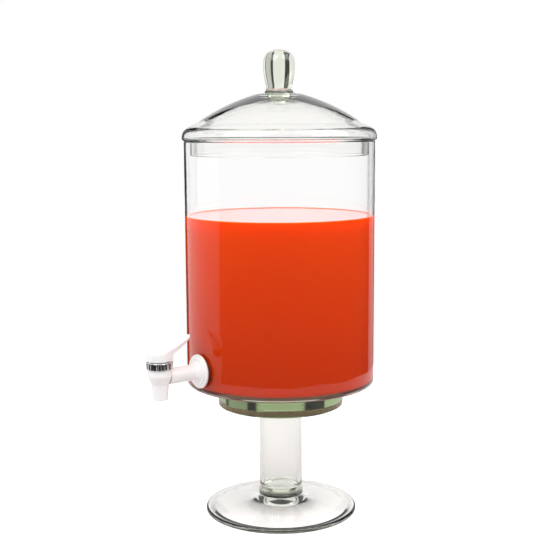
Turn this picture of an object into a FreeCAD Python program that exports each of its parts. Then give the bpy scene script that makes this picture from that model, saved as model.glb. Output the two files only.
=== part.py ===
import FreeCAD, Part
import os
import Sketcher
from FreeCAD import Placement, Rotation, Vector

# Footed glass dispenser jar with a lift-off lid and a quarter-turn side tap.
# Millimetres, +Z up. The origin is the centre of the ring that the foot stands on; the tap points to -Y.

SIZES = {
    # pedestal foot
    "foot_dia": 155,
    "foot_edge": 5.5,
    "foot_height": 17.5,
    "foot_sweep": 2.2,
    "foot_ring": 10,
    "foot_hollow": 9,
    # pedestal stem
    "stem_dia": 43.4,
    "stem_wall": 3.6,
    "stem_length": 95,
    "stem_base": 10,
    "stem_bead": 0.8,
    "stem_bead_height": 6,
    # pedestal plate
    "plate_dia": 127.4,
    "plate_thickness": 23,
    "plate_round": 1.2,
    # jar
    "jar_dia": 190,
    "jar_height": 243.5,
    "jar_wall": 2.4,
    "jar_base": 7.5,
    "jar_corner": 3.5,
    "jar_floor_round": 3,
    "jar_rim_round": 0.9,
    # liquid
    "liquid_depth": 162.3,
    "liquid_gap": 0.25,
    # lid
    "lid_overhang": 1.8,
    "lid_rim_height": 12.8,
    "lid_rim_top_round": 8,
    "lid_rim_under_round": 2.8,
    "lid_skirt_gap": 4,
    "lid_skirt_wall": 3,
    "lid_skirt_depth": 14,
    "lid_skirt_round": 1.2,
    "lid_dome_height": 46.1,
    "lid_dome_sag": 3.6,
    "lid_crown": 6.5,
    "lid_shoulder": 8.6,
    "lid_flange": 3.6,
    "lid_bead_wall": 3.6,
    "lid_bead_top": 7.2,
    # lid knob
    "knob_height": 43.2,
    "knob_base_dia": 44,
    "knob_lip": 0.8,
    "knob_neck_dia": 25.6,
    "knob_neck_height": 8,
    "knob_dia": 31,
    "knob_widest": 31,
    "knob_crown_dia": 16,
    "knob_bulge": 1,
    "knob_shoulder": 1.87,
    "knob_crown": 1.6,
    # tap body
    "tap_rise": 15.6,
    "tap_reach": 46,
    "shank_dia": 15,
    "shank_bore": 8,
    "shank_hole_gap": 0.3,
    "shank_stickout": 2.5,
    "tube_dia": 15.6,
    "flange_dia": 33,
    "flange_thickness": 2.5,
    "flange_step_dia": 27,
    "flange_step": 1.5,
    "boss_dia": 22,
    "boss_length": 4,
    "barrel_dia": 23,
    "barrel_neck_dia": 20.4,
    "barrel_neck_height": 5,
    "barrel_top": 8.2,
    "barrel_shoulder": 2,
    "spout_length": 21.5,
    "spout_top_dia": 17,
    "spout_top": 6.5,
    "spout_dia": 14.4,
    "spout_bore": 8,
    # plug, seal ring, collar, handle and screw
    "plug_dia": 13,
    "plug_taper": 0.4,
    "plug_relief": 0.12,
    "plug_gap": 0.08,
    "plug_floor": 5,
    "plug_bore": 7.6,
    "plug_port": 7,
    "plug_shaft_dia": 9,
    "plug_square": 6,
    "plug_square_height": 4.2,
    "ring_section": 1.6,
    "ring_fit": 0.03,
    "ring_drop": 3.4,
    "collar_dia": 25,
    "collar_height": 7.3,
    "collar_roof": 1.8,
    "collar_round": 0.9,
    "flute_dia": 2.4,
    "flute_offset": 0.4,
    "flute_count": 18,
    "thread_gap": 0.05,
    "running_gap": 0.3,
    "hub_dia": 22.4,
    "handle_front_top": 8,
    "handle_back_top": 22,
    "handle_reach": 33,
    "handle_sag": 1.6,
    "paddle_tip_width": 9,
    "paddle_thickness": 3,
    "paddle_root": 10,
    "paddle_root_height": 7,
    "hub_web": 2,
    "screw_dia": 3.5,
    "screw_head_dia": 6.4,
    "screw_head": 2.2,
    "screw_length": 8,
    "screw_gap": 0.1,
    "screw_head_gap": 0.2,
    # soft washers, hard washer and nut
    "outer_gasket": 2,
    "outer_gasket_dia": 29,
    "inner_gasket": 3,
    "inner_gasket_dia": 24,
    "washer": 1.5,
    "nut": 7,
    "nut_across_flats": 20,
}

doc = FreeCAD.newDocument("dispenser_jar")
dims = doc.addObject("Spreadsheet::Sheet", "dims")
for row, (name, value) in enumerate(SIZES.items(), start=1):
    dims.set(f"A{row}", name)
    dims.set(f"B{row}", str(value))
    dims.setAlias(f"B{row}", name)
doc.recompute()


def radius(size):
    return f"dims.{size} / 2"


# heights of the stacked pieces, and where the tap's barrel stands
PLATE_Z = "(dims.foot_height + dims.stem_length)"
JAR_Z = f"({PLATE_Z} + dims.plate_thickness)"
RIM_Z = f"({JAR_Z} + dims.jar_height)"
KNOB_Z = f"({RIM_Z} + dims.lid_dome_height)"
TAP_RISE = "(dims.jar_base + dims.tap_rise)"
TAP_Z = f"({JAR_Z} + {TAP_RISE})"
BARREL_Y = "(dims.jar_dia / 2 + dims.tap_reach)"
JAR_INSIDE = "(dims.jar_dia / 2 - dims.jar_wall)"

# stations along the shank, measured from the barrel's axis towards the jar
FLANGE_BACK = "(dims.tap_reach - dims.outer_gasket)"
FLANGE_FRONT = f"({FLANGE_BACK} - dims.flange_thickness)"
INNER_GASKET_END = "(dims.tap_reach + dims.jar_wall + dims.inner_gasket)"
WASHER_END = f"({INNER_GASKET_END} + dims.washer)"
NUT_END = f"({WASHER_END} + dims.nut)"
SHANK_END = f"({NUT_END} + dims.shank_stickout)"

# heights in the tap, measured from the shank's axis
NECK_TOP = "(dims.barrel_top + dims.barrel_neck_height)"
COLLAR_BOTTOM = "(dims.barrel_top + dims.thread_gap)"
COLLAR_TOP = f"({COLLAR_BOTTOM} + dims.collar_height)"
PLUG_TOP = f"({COLLAR_TOP} - dims.collar_roof - dims.running_gap)"
HUB_BOTTOM = f"({COLLAR_TOP} + dims.running_gap)"
SQUARE_TOP = f"({HUB_BOTTOM} + dims.plug_square_height)"
SCREW_SEAT = f"({SQUARE_TOP} + dims.running_gap + dims.hub_web)"

QUARTER_SAG = "(1 - sqrt(0.5))"
WHOLE_TURN = 360
ON_AXIS = 1e-9
CAP_CENTRE = 1e-6
LEAST_CUT = 1


def number(expression):
    """The value that an expression over the sheet has now."""
    return float(dims.evalExpression(expression))


def arc_centre(start, end, sag):
    """The centre of an arc, from its two ends and how far it stands out from the line between them."""
    across = f"(({end[0]}) - ({start[0]}))"
    along = f"(({end[1]}) - ({start[1]}))"
    chord = f"sqrt({across}^2 + {along}^2)"
    share = f"(({chord}^2 / 4 - ({sag})^2) / (2 * ({sag}) * {chord}))"
    middle_x = f"(({start[0]}) + ({end[0]})) / 2"
    middle_y = f"(({start[1]}) + ({end[1]})) / 2"
    return f"{middle_x} - {along} * {share}", f"{middle_y} + {across} * {share}"


def new_body(label, y=None, z=None):
    """A body whose place is bound to the sheet."""
    body = doc.addObject("PartDesign::Body", label)
    body.Label = label
    if y:
        body.setExpression(".Placement.Base.y", y)
    if z:
        body.setExpression(".Placement.Base.z", z)
    return body


def new_sketch(body, name, plane, offset=None):
    """A sketch on one of the body's own origin planes, moved along that plane's normal."""
    sketch = body.newObject("Sketcher::SketchObject", name)
    support = [item for item in body.Origin.OriginFeatures if item.Role == plane][0]
    sketch.AttachmentSupport = [(support, "")]
    sketch.MapMode = "FlatFace"
    if offset:
        sketch.setExpression(".AttachmentOffset.Base.z", offset)
    return sketch


def bind(sketch, kind, places, expression):
    """A dimension of the sketch that follows an expression."""
    index = sketch.addConstraint(Sketcher.Constraint(kind, *places, number(expression)))
    sketch.setExpression(f"Constraints[{index}]", expression)


def place_point(sketch, geometry, end, corner):
    """Fixes one end of a line or arc at a corner of the outline."""
    for kind, axis, value in (("DistanceX", -2, corner[0]), ("DistanceY", -1, corner[1])):
        place_along(sketch, geometry, end, kind, axis, value)


def place_along(sketch, geometry, end, kind, axis, value):
    """Fixes a point's distance from one of the sketch's axes, or sets it on that axis."""
    if abs(number(value)) < ON_AXIS:
        sketch.addConstraint(Sketcher.Constraint("PointOnObject", geometry, end, axis))
    else:
        bind(sketch, kind, (-1, 1, geometry, end), value)


def shape_arc(sketch, edge, start, end, sag):
    """Fixes an arc between its ends by its centre: on the axis, or at the coordinate that its bulge moves most."""
    centre_x, centre_y = arc_centre(start, end, sag)
    ends_on_axis = min(abs(number(start[0])), abs(number(end[0]))) < CAP_CENTRE
    if ends_on_axis and abs(number(centre_x)) < CAP_CENTRE:
        place_along(sketch, edge, 3, "DistanceX", -2, "0")
        return
    across = abs(number(end[0]) - number(start[0]))
    along = abs(number(end[1]) - number(start[1]))
    if along > across:
        place_along(sketch, edge, 3, "DistanceX", -2, centre_x)
    else:
        place_along(sketch, edge, 3, "DistanceY", -1, centre_y)


def draw(sketch, outline):
    """A closed outline. A corner is (x, y), or (x, y, sag) where an arc leads on from it.

    A positive sag bulges to the right of the way from the corner to the next one.
    """
    points = [Vector(number(corner[0]), number(corner[1]), 0) for corner in outline]
    edges = []
    for index, corner in enumerate(outline):
        start, end = points[index], points[(index + 1) % len(points)]
        if len(corner) == 2:
            edges.append((sketch.addGeometry(Part.LineSegment(start, end)), 1, 2))
            continue
        sag = number(corner[2])
        way = (end - start).normalize()
        middle = (start + end) / 2 + Vector(way.y, -way.x, 0) * sag
        # an arc is kept anticlockwise, so one that bulges to the left is drawn from its end
        edge = sketch.addGeometry(Part.Arc(start, middle, end))
        edges.append((edge, 1, 2) if sag > 0 else (edge, 2, 1))
    for index, (edge, first, last) in enumerate(edges):
        following = edges[(index + 1) % len(edges)]
        sketch.addConstraint(Sketcher.Constraint("Coincident", edge, last, following[0], following[1]))
        place_point(sketch, edge, first, outline[index])
    for index, corner in enumerate(outline):
        if len(corner) == 3:
            after = outline[(index + 1) % len(outline)]
            shape_arc(sketch, edges[index][0], corner, after, corner[2])


def turn(body, name, outline, plane="XZ_Plane", axis="V_Axis", kind="PartDesign::Revolution"):
    """A turned solid, or with Groove a turned cut, from an outline on one side of its axis."""
    sketch = new_sketch(body, f"{name}_outline", plane)
    draw(sketch, outline)
    feature = body.newObject(kind, name)
    feature.Profile = sketch
    feature.ReferenceAxis = (sketch, [axis])
    feature.Angle = WHOLE_TURN
    return feature


def cut_round(body, name, plane, centre, size, offset=None, along_normal=True, length=None):
    """A round hole from a sketch on one of the body's planes, cut along that plane's normal or against it."""
    sketch = new_sketch(body, f"{name}_circle", plane, offset)
    middle = Vector(number(centre[0]), number(centre[1]), 0)
    circle = sketch.addGeometry(Part.Circle(middle, Vector(0, 0, 1), number(size) / 2))
    bind(sketch, "Diameter", (circle,), size)
    if centre == ("0", "0"):
        sketch.addConstraint(Sketcher.Constraint("Coincident", circle, 3, -1, 1))
    else:
        place_point(sketch, circle, 3, centre)
    return cut(body, name, sketch, along_normal, length)


def cut(body, name, sketch, along_normal=True, length=None, midplane=False):
    """A pocket with the sketch's outline, through everything or to a bound length."""
    pocket = body.newObject("PartDesign::Pocket", name)
    pocket.Profile = sketch
    pocket.Reversed = along_normal
    pocket.Midplane = midplane
    pocket.Type = "Length" if length else "ThroughAll"
    if length:
        pocket.setExpression("Length", length)
    return pocket


def raise_pad(body, name, sketch, length, midplane=False):
    pad = body.newObject("PartDesign::Pad", name)
    pad.Profile = sketch
    pad.Midplane = midplane
    pad.setExpression("Length", length)
    return pad


def square(size):
    """A square outline centred on its sketch's origin, from its across-flats size."""
    half = f"{size} / 2"
    return [(f"-{half}", f"-{half}"), (half, f"-{half}"), (half, half), (f"-{half}", half)]


def round_over(size):
    """How far the arc of a quarter round stands out from the line between its ends."""
    return f"dims.{size} * {QUARTER_SAG}"


def cap(edge, rise):
    """How far the arc of a round cap stands out from the line between its edge and its top on the axis."""
    chord = f"(({edge})^2 + ({rise})^2)"
    ball = f"({chord} / (2 * ({rise})))"
    return f"({ball} - sqrt({ball}^2 - {chord} / 4))"


def pedestal_foot():
    body = new_body("pedestal_foot")
    rim = f"{radius('foot_dia')} - dims.foot_edge / 2"
    stand = f"{radius('foot_dia')} - dims.foot_ring"
    crown = f"{radius('stem_dia')} + 2 * dims.stem_bead"
    turn(body, "foot", [
        (stand, "0"),
        (rim, "0", "dims.foot_edge / 2"),
        (rim, "dims.foot_edge", "-dims.foot_sweep"),
        (crown, "dims.foot_height"),
        ("0", "dims.foot_height"),
        ("0", "dims.foot_hollow", f"-{cap(stand, 'dims.foot_hollow')}"),
    ])
    return body


def pedestal_stem():
    body = new_body("pedestal_stem", z="dims.foot_height")
    outside = radius("stem_dia")
    inside = f"{outside} - dims.stem_wall"
    bead = f"{outside} + dims.stem_bead"
    turn(body, "stem", [
        ("0", "0"),
        (bead, "0"),
        (bead, "dims.stem_bead_height / 2", "-dims.stem_bead / 2"),
        (outside, "dims.stem_bead_height"),
        (outside, "dims.stem_length"),
        (inside, "dims.stem_length"),
        (inside, "dims.stem_base + dims.stem_wall", f"-{round_over('stem_wall')}"),
        (f"{inside} - dims.stem_wall", "dims.stem_base"),
        ("0", "dims.stem_base"),
    ])
    return body


def pedestal_plate():
    body = new_body("pedestal_plate", z=PLATE_Z)
    edge = radius("plate_dia")
    inset = f"{edge} - dims.plate_round"
    turn(body, "plate", [
        ("0", "0"),
        (inset, "0", round_over("plate_round")),
        (edge, "dims.plate_round"),
        (edge, "dims.plate_thickness - dims.plate_round", round_over("plate_round")),
        (inset, "dims.plate_thickness"),
        ("0", "dims.plate_thickness"),
    ])
    return body


def jar():
    body = new_body("jar", z=JAR_Z)
    outside = radius("jar_dia")
    rim_start = "dims.jar_height - dims.jar_rim_round"
    floor_edge = f"{JAR_INSIDE} - dims.jar_floor_round"
    turn(body, "vessel", [
        ("0", "0"),
        (f"{outside} - dims.jar_corner", "0", round_over("jar_corner")),
        (outside, "dims.jar_corner"),
        (outside, rim_start, round_over("jar_rim_round")),
        (f"{outside} - dims.jar_rim_round", "dims.jar_height"),
        (f"{JAR_INSIDE} + dims.jar_rim_round", "dims.jar_height", round_over("jar_rim_round")),
        (JAR_INSIDE, rim_start),
        (JAR_INSIDE, "dims.jar_base + dims.jar_floor_round", f"-{round_over('jar_floor_round')}"),
        (floor_edge, "dims.jar_base"),
        ("0", "dims.jar_base"),
    ])
    hole = "dims.shank_dia + 2 * dims.shank_hole_gap"
    cut_round(body, "tap_hole", "XZ_Plane", ("0", TAP_RISE), hole)
    return body


def liquid_fill():
    body = new_body("liquid_fill", z=f"{JAR_Z} + dims.jar_base")
    side = f"{JAR_INSIDE} - dims.liquid_gap"
    turn(body, "fill", [
        ("0", "dims.liquid_gap"),
        (f"{side} - dims.jar_floor_round", "dims.liquid_gap", round_over("jar_floor_round")),
        (side, "dims.liquid_gap + dims.jar_floor_round"),
        (side, "dims.liquid_depth"),
        ("0", "dims.liquid_depth"),
    ])
    # room for the gasket, washer and nut, and then for the end of the shank
    for name, size, end in (
        ("nut_room", "dims.inner_gasket_dia", NUT_END),
        ("shank_room", "dims.shank_dia", SHANK_END),
    ):
        reach = f"{BARREL_Y} - {end} - dims.liquid_gap"
        cut_round(
            body, name, "XZ_Plane", ("0", "dims.tap_rise"), f"{size} + 2 * dims.liquid_gap", offset=reach,
        )
    return body


def lid():
    body = new_body("lid", z=RIM_Z)
    skirt = f"{JAR_INSIDE} - dims.lid_skirt_gap"
    inside = f"{skirt} - dims.lid_skirt_wall"
    rim = f"{radius('jar_dia')} + dims.lid_overhang"
    under = "dims.lid_rim_under_round"
    top = "dims.lid_rim_top_round"
    bead = f"{rim} - dims.lid_bead_wall"
    turn(body, "dome", [
        (inside, "-dims.lid_skirt_depth"),
        (f"{skirt} - dims.lid_skirt_round", "-dims.lid_skirt_depth", round_over("lid_skirt_round")),
        (skirt, "dims.lid_skirt_round - dims.lid_skirt_depth"),
        (skirt, "0"),
        (f"{rim} - {under}", "0", round_over("lid_rim_under_round")),
        (rim, under),
        (rim, f"dims.lid_rim_height - {top}", round_over("lid_rim_top_round")),
        (f"{rim} - {top}", "dims.lid_rim_height", "dims.lid_dome_sag"),
        (radius("knob_base_dia"), "dims.lid_dome_height"),
        ("0", "dims.lid_dome_height"),
        ("0", "dims.lid_dome_height - dims.lid_crown"),
        (radius("knob_base_dia"), "dims.lid_dome_height - dims.lid_crown", "-dims.lid_dome_sag"),
        (inside, "dims.lid_shoulder"),
        (bead, "dims.lid_bead_top"),
        (bead, "dims.lid_flange"),
        (inside, "dims.lid_flange"),
    ])
    return body


def lid_knob():
    body = new_body("lid_knob", z=KNOB_Z)
    neck = radius("knob_neck_dia")
    head = radius("knob_dia")
    crown_edge = "dims.knob_height - dims.knob_crown"
    flare_sag = f"-({radius('knob_base_dia')} - {neck}) * {QUARTER_SAG}"
    turn(body, "knob", [
        ("0", "0"),
        (radius("knob_base_dia"), "0"),
        (radius("knob_base_dia"), "dims.knob_lip", flare_sag),
        (neck, "dims.knob_neck_height", "dims.knob_bulge"),
        (head, "dims.knob_widest", "dims.knob_shoulder"),
        (radius("knob_crown_dia"), crown_edge, cap(radius("knob_crown_dia"), "dims.knob_crown")),
        ("0", "dims.knob_height"),
    ])
    return body


def tap_body():
    body = new_body("tap_body", y=f"-{BARREL_Y}", z=TAP_Z)
    bore = f"{radius('plug_dia')} + dims.plug_gap"
    turn(body, "barrel", [
        (radius("spout_bore"), "-dims.spout_length"),
        (radius("spout_dia"), "-dims.spout_length"),
        (radius("spout_top_dia"), "-dims.spout_top"),
        (radius("barrel_dia"), "dims.barrel_shoulder"),
        (radius("barrel_dia"), "dims.barrel_top"),
        (radius("barrel_neck_dia"), "dims.barrel_top"),
        (radius("barrel_neck_dia"), NECK_TOP),
        (bore, NECK_TOP),
        (f"{bore} - dims.plug_taper", "-dims.plug_floor"),
        (radius("spout_bore"), "-dims.plug_floor"),
    ])
    tube_start = f"({bore} + {radius('barrel_dia')}) / 2"
    step_front = f"{FLANGE_FRONT} - dims.flange_step"
    turn(body, "shank", [
        (tube_start, radius("shank_bore")),
        (SHANK_END, radius("shank_bore")),
        (SHANK_END, radius("shank_dia")),
        (FLANGE_BACK, radius("shank_dia")),
        (FLANGE_BACK, radius("flange_dia")),
        (FLANGE_FRONT, radius("flange_dia")),
        (FLANGE_FRONT, radius("flange_step_dia")),
        (step_front, radius("flange_step_dia")),
        (step_front, radius("boss_dia")),
        (f"{step_front} - dims.boss_length", radius("tube_dia")),
        (tube_start, radius("tube_dia")),
    ], plane="YZ_Plane", axis="H_Axis")
    turn(body, "inlet", [
        ("0", "0"),
        (radius("barrel_dia"), "0"),
        (radius("barrel_dia"), radius("shank_bore")),
        ("0", radius("shank_bore")),
    ], plane="YZ_Plane", axis="H_Axis", kind="PartDesign::Groove")
    return body


def tap_plug():
    body = new_body("tap_plug", y=f"-{BARREL_Y}", z=TAP_Z)
    wide = radius("plug_dia")
    bottom = "dims.plug_gap - dims.plug_floor"
    groove_depth = "(dims.ring_section + 2 * dims.ring_fit - dims.plug_gap + dims.plug_relief)"
    groove_top = f"{PLUG_TOP} - dims.ring_drop"
    groove_bottom = f"{groove_top} - dims.ring_section - 2 * dims.ring_fit"
    turn(body, "plug", [
        (radius("plug_bore"), bottom),
        (f"{wide} - dims.plug_taper", bottom),
        (f"{wide} - dims.plug_relief", groove_bottom),
        (f"{wide} - {groove_depth}", groove_bottom),
        (f"{wide} - {groove_depth}", groove_top),
        (f"{wide} - dims.plug_relief", groove_top),
        (f"{wide} - dims.plug_relief", PLUG_TOP),
        (radius("plug_shaft_dia"), PLUG_TOP),
        (radius("plug_shaft_dia"), HUB_BOTTOM),
        ("0", HUB_BOTTOM),
        ("0", radius("plug_bore")),
        (radius("plug_bore"), radius("plug_bore")),
    ])
    key = new_sketch(body, "square_outline", "XY_Plane", HUB_BOTTOM)
    draw(key, square("dims.plug_square"))
    raise_pad(body, "square_end", key, "dims.plug_square_height")
    cut_round(body, "port", "YZ_Plane", ("0", "0"), "dims.plug_port", along_normal=False)
    cut_round(
        body, "screw_hole", "XY_Plane", ("0", "0"), "dims.screw_dia + 2 * dims.screw_gap",
        offset=SQUARE_TOP, along_normal=False, length="dims.screw_length",
    )
    return body


def plug_seal_ring():
    ring = doc.addObject("Part::Torus", "plug_seal_ring")
    ring.setExpression("Radius2", "dims.ring_section / 2")
    reach = f"{radius('plug_dia')} + dims.plug_gap - dims.ring_fit - dims.ring_section / 2"
    ring.setExpression("Radius1", f"{reach} - dims.plug_relief")
    ring.setExpression(".Placement.Base.y", f"-{BARREL_Y}")
    height = f"{PLUG_TOP} - dims.ring_drop - dims.ring_fit - dims.ring_section / 2"
    ring.setExpression(".Placement.Base.z", f"{TAP_Z} + {height}")
    return ring


def tap_collar():
    body = new_body("tap_collar", y=f"-{BARREL_Y}", z=TAP_Z)
    hole = f"{radius('plug_shaft_dia')} + dims.plug_gap"
    thread = f"{radius('barrel_neck_dia')} + dims.thread_gap"
    edge = radius("collar_dia")
    inset = f"{edge} - dims.collar_round"
    roof = f"{COLLAR_TOP} - dims.collar_roof"
    turn(body, "collar", [
        (thread, COLLAR_BOTTOM),
        (inset, COLLAR_BOTTOM, round_over("collar_round")),
        (edge, f"{COLLAR_BOTTOM} + dims.collar_round"),
        (edge, f"{COLLAR_TOP} - dims.collar_round", round_over("collar_round")),
        (inset, COLLAR_TOP),
        (hole, COLLAR_TOP),
        (hole, roof),
        (thread, roof),
    ])
    flute_place = (f"{edge} + dims.flute_offset", "0")
    flute = cut_round(body, "flute", "XY_Plane", flute_place, "dims.flute_dia", offset=COLLAR_BOTTOM)
    flutes = body.newObject("PartDesign::PolarPattern", "flutes")
    flutes.Originals = [flute]
    flutes.Axis = (flute.Profile[0], ["N_Axis"])
    flutes.Angle = WHOLE_TURN
    flutes.setExpression("Occurrences", "dims.flute_count")
    body.Tip = flutes
    return body


def tap_handle():
    body = new_body("tap_handle", y=f"-{BARREL_Y}", z=TAP_Z)
    hub = radius("hub_dia")
    half_tip = radius("paddle_tip_width")
    plan = new_sketch(body, "plan", "XY_Plane", HUB_BOTTOM)
    tip = f"dims.handle_reach - {half_tip}"
    draw(plan, [
        (f"-{hub}", "0", hub),
        (hub, "0"),
        (half_tip, tip, half_tip),
        (f"-{half_tip}", tip),
    ])
    raise_pad(body, "blank", plan, "dims.handle_back_top")
    front_top = f"{HUB_BOTTOM} + dims.handle_front_top"
    back_top = f"{HUB_BOTTOM} + dims.handle_back_top"
    clear = "dims.hub_dia"
    above = new_sketch(body, "above_the_handle", "YZ_Plane")
    draw(above, [
        (f"-{hub} - dims.running_gap", front_top, "dims.handle_sag"),
        ("dims.handle_reach", back_top),
        ("dims.handle_reach", f"{back_top} + {clear}"),
        (f"-{hub} - dims.running_gap", f"{back_top} + {clear}"),
    ])
    cut(body, "top_sweep", above, midplane=True)
    below = new_sketch(body, "below_the_paddle", "YZ_Plane")
    draw(below, [
        ("dims.paddle_root", f"{HUB_BOTTOM} - dims.running_gap"),
        (f"dims.handle_reach + {clear}", f"{HUB_BOTTOM} - dims.running_gap"),
        (f"dims.handle_reach + {clear}", f"{back_top} - dims.paddle_thickness"),
        ("dims.handle_reach", f"{back_top} - dims.paddle_thickness", "-dims.handle_sag"),
        ("dims.paddle_root", f"{HUB_BOTTOM} + dims.paddle_root_height"),
    ])
    cut(body, "underside", below, midplane=True)
    socket = new_sketch(body, "socket_outline", "XY_Plane", HUB_BOTTOM)
    draw(socket, square("(dims.plug_square + 2 * dims.plug_gap)"))
    depth = "dims.plug_square_height + dims.running_gap"
    cut(body, "socket", socket, along_normal=True, length=depth)
    cut_round(body, "screw_hole", "XY_Plane", ("0", "0"), "dims.screw_dia + 2 * dims.screw_gap", offset=HUB_BOTTOM)
    head_room = "dims.screw_head_dia + 2 * dims.screw_head_gap"
    cut_round(body, "screw_recess", "XY_Plane", ("0", "0"), head_room, offset=SCREW_SEAT)
    return body


def handle_screw():
    body = new_body("handle_screw", y=f"-{BARREL_Y}", z=f"{TAP_Z} + {SCREW_SEAT}")
    turn(body, "screw", [
        ("0", "-dims.screw_length"),
        (radius("screw_dia"), "-dims.screw_length"),
        (radius("screw_dia"), "0"),
        (radius("screw_head_dia"), "0"),
        (radius("screw_head_dia"), "dims.screw_head / 2", cap(radius("screw_head_dia"), "dims.screw_head / 2")),
        ("0", "dims.screw_head"),
    ])
    return body


def shank_rod(name, size, start, end):
    """A plain round bar along the shank's axis between two stations."""
    rod = doc.addObject("Part::Cylinder", name)
    rod.setExpression("Radius", f"({size}) / 2")
    rod.setExpression("Height", f"{end} - {start}")
    rod.Placement = Placement(Vector(), Rotation(Vector(1, 0, 0), -90))
    rod.setExpression(".Placement.Base.y", f"{start} - {BARREL_Y}")
    rod.setExpression(".Placement.Base.z", TAP_Z)
    return rod


def wall_cylinder(name, size):
    """The jar's outer or inner wall as a solid bar about the jar's axis."""
    wall = doc.addObject("Part::Cylinder", name)
    wall.setExpression("Radius", size)
    wall.setExpression("Height", "dims.jar_height")
    wall.setExpression(".Placement.Base.z", JAR_Z)
    return wall


def combine(kind, label, base, tool):
    result = doc.addObject(kind, label)
    result.Label = label
    result.Base = base
    result.Tool = tool
    return result


SHANK_CLEAR = "dims.shank_dia + 2 * dims.thread_gap"


def outer_gasket():
    """A soft washer, flat on the flange and hollowed to the jar's outer wall."""
    far = "(dims.tap_reach + dims.jar_wall)"
    disc = shank_rod("outer_gasket_disc", "dims.outer_gasket_dia", FLANGE_BACK, far)
    bore = shank_rod("outer_gasket_bore", SHANK_CLEAR, FLANGE_BACK, far)
    ring = combine("Part::Cut", "outer_gasket_ring", disc, bore)
    wall = wall_cylinder("outer_gasket_wall", radius("jar_dia"))
    return combine("Part::Cut", "outer_gasket", ring, wall)


def inner_gasket():
    """A soft washer, crowned to the jar's inner wall and flat where the hard washer bears."""
    disc = shank_rod("inner_gasket_disc", "dims.inner_gasket_dia", "dims.tap_reach", INNER_GASKET_END)
    bore = shank_rod("inner_gasket_bore", SHANK_CLEAR, "dims.tap_reach", INNER_GASKET_END)
    ring = combine("Part::Cut", "inner_gasket_ring", disc, bore)
    wall = wall_cylinder("inner_gasket_wall", JAR_INSIDE)
    return combine("Part::Common", "inner_gasket", ring, wall)


def pressure_washer():
    disc = shank_rod("washer_disc", "dims.inner_gasket_dia", INNER_GASKET_END, WASHER_END)
    bore = shank_rod("washer_bore", SHANK_CLEAR, INNER_GASKET_END, WASHER_END)
    return combine("Part::Cut", "pressure_washer", disc, bore)


def shank_nut():
    hexagon = doc.addObject("Part::Prism", "nut_hexagon")
    hexagon.Polygon = 6
    hexagon.setExpression("Circumradius", "dims.nut_across_flats / sqrt(3)")
    hexagon.setExpression("Height", "dims.nut")
    hexagon.Placement = Placement(Vector(), Rotation(Vector(1, 0, 0), -90))
    hexagon.setExpression(".Placement.Base.y", f"{WASHER_END} - {BARREL_Y}")
    hexagon.setExpression(".Placement.Base.z", TAP_Z)
    bore = shank_rod("nut_bore", SHANK_CLEAR, WASHER_END, NUT_END)
    return combine("Part::Cut", "shank_nut", hexagon, bore)


def check(parts):
    """Stops the build where an object failed, a cut took nothing or a sub-part isn't one valid solid."""
    for item in doc.Objects:
        if "Invalid" in item.State or "Error" in item.State:
            raise RuntimeError(f"{item.Label} failed: {item.State}")
        if item.TypeId in ("PartDesign::Pocket", "PartDesign::Groove"):
            if item.BaseFeature.Shape.Volume - item.Shape.Volume < LEAST_CUT:
                raise RuntimeError(f"{item.Label} cuts nothing")
    for part in parts:
        shape = part.Shape
        if shape.isNull() or not shape.isValid() or len(shape.Solids) != 1:
            raise RuntimeError(f"{part.Label} is not one valid solid")


MAKERS = (
    pedestal_foot, pedestal_stem, pedestal_plate, jar, liquid_fill, lid, lid_knob,
    tap_body, tap_plug, plug_seal_ring, tap_collar, tap_handle, handle_screw,
    outer_gasket, inner_gasket, pressure_washer, shank_nut,
)
parts = [make() for make in MAKERS]
doc.recompute()
check(parts)
os.makedirs("parts", exist_ok=True)
for part in parts:
    part.Shape.exportStep(f"parts/{part.Label}.step")
    box = part.Shape.BoundBox
    print(f"{part.Label}: {part.Shape.Volume / 1000:.2f} cm3, z {box.ZMin:.1f} to {box.ZMax:.1f}")
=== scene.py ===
import math

import bmesh
import bpy
from bpy.props import FloatProperty, FloatVectorProperty, IntProperty, PointerProperty
from bpy.types import Operator, Panel, PropertyGroup
from mathutils import Matrix, Vector


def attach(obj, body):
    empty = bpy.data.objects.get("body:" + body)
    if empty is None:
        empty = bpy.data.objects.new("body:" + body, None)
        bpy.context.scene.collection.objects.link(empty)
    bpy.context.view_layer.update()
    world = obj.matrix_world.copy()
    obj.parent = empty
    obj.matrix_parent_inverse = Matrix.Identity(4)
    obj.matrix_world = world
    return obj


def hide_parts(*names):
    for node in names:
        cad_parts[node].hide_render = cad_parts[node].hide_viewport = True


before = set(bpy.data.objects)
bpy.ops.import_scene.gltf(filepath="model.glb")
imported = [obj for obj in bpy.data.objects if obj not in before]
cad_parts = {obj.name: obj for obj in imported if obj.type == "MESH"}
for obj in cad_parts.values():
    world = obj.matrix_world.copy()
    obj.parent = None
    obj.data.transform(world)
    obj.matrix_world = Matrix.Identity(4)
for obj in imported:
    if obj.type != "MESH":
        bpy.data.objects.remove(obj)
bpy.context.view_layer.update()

bl_info = {
    "name": "Footed dispenser jar",
    "version": (1, 0, 0),
    "blender": (4, 5, 0),
    "location": "View3D > Sidebar > Dispenser",
    "description": "Builds the looks of a footed glass dispenser jar with a lid and a side tap",
    "category": "Add Mesh",
}

MM = 0.001
WHITE = (1.0, 1.0, 1.0, 1.0)
# what a surface of glass leaves of a lamp's light, and the darkest grain of an opaque material
GLASS_SHADE = (0.94, 0.95, 0.94, 1.0)
GRAIN_SHADE = 0.93
# the pale painted reflection on the top of the liquid: how far a face looks up where it begins and
# where it is full, and its share there
PAINTED_REFLECTION_RANGE = {"From Min": 0.8, "From Max": 0.98, "To Max": 0.5}

# outlines, in millimetres: a smaller radius is on the axis, and nearer points are one point
POLE = 1e-6
SAME = 0.001
# where a line gets a point beyond a rounding, as a share of the rounding's radius
HOLD = 0.25
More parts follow.
